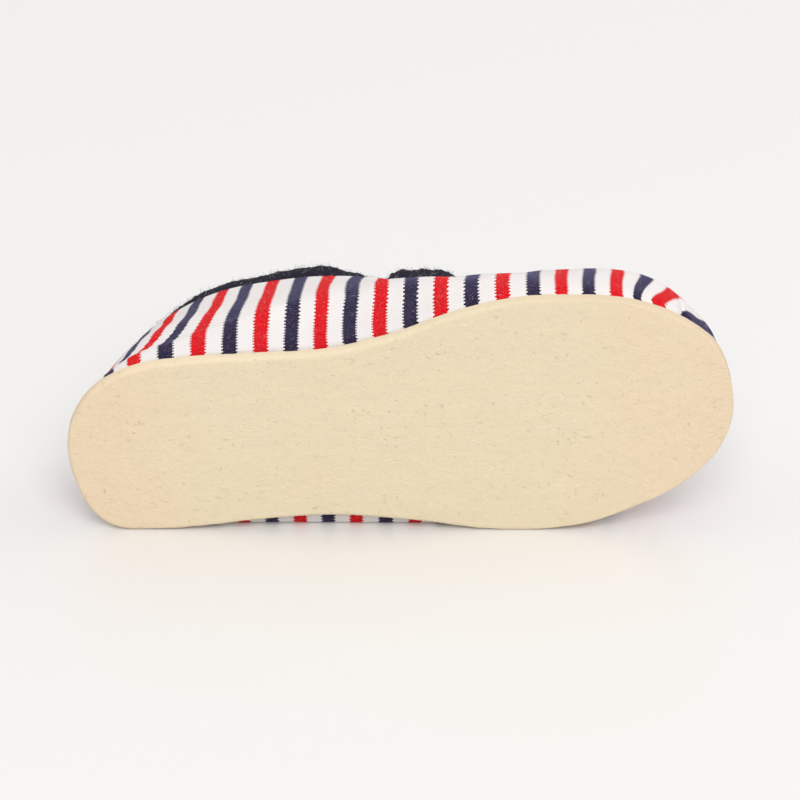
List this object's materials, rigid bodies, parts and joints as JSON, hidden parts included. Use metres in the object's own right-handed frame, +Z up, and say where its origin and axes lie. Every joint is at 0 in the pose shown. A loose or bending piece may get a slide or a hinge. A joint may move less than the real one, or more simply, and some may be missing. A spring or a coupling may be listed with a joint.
{
  "type": "slipper",
  "caption": "Child's soft felt slipper with a striped jersey upper, a fuzzy felt collar and a flat crepe sole, lying on its outer side with the tread toward the front.",
  "frame": {"origin": "bottom centre of the bounding box: the point of the floor below the middle of the slipper as it lies on its outer (lateral) side", "axes": "+X from heel to toe, parallel to the floor line the slipper rests on; +Y from the tread toward the foot opening, parallel to the floor; +Z up from the floor, toward the inner (medial) side of the slipper"},
  "size_m": [0.1714, 0.06, 0.0711],
  "materials": {
    "crepe": "natural latex crepe, cream, matte, finely pitted",
    "footbed_felt": "navy wool felt, matte, slightly fuzzy",
    "striped_jersey": "brushed knitted jersey on felt, white with red and navy stripes, matte",
    "collar_felt": "navy wool felt, raw fuzzy edge, matte"
  },
  "bodies": {
    "root": {"outsole": "crepe", "insole": "footbed_felt", "upper": "striped_jersey", "collar": "collar_felt"}
  },
  "joints": []
}
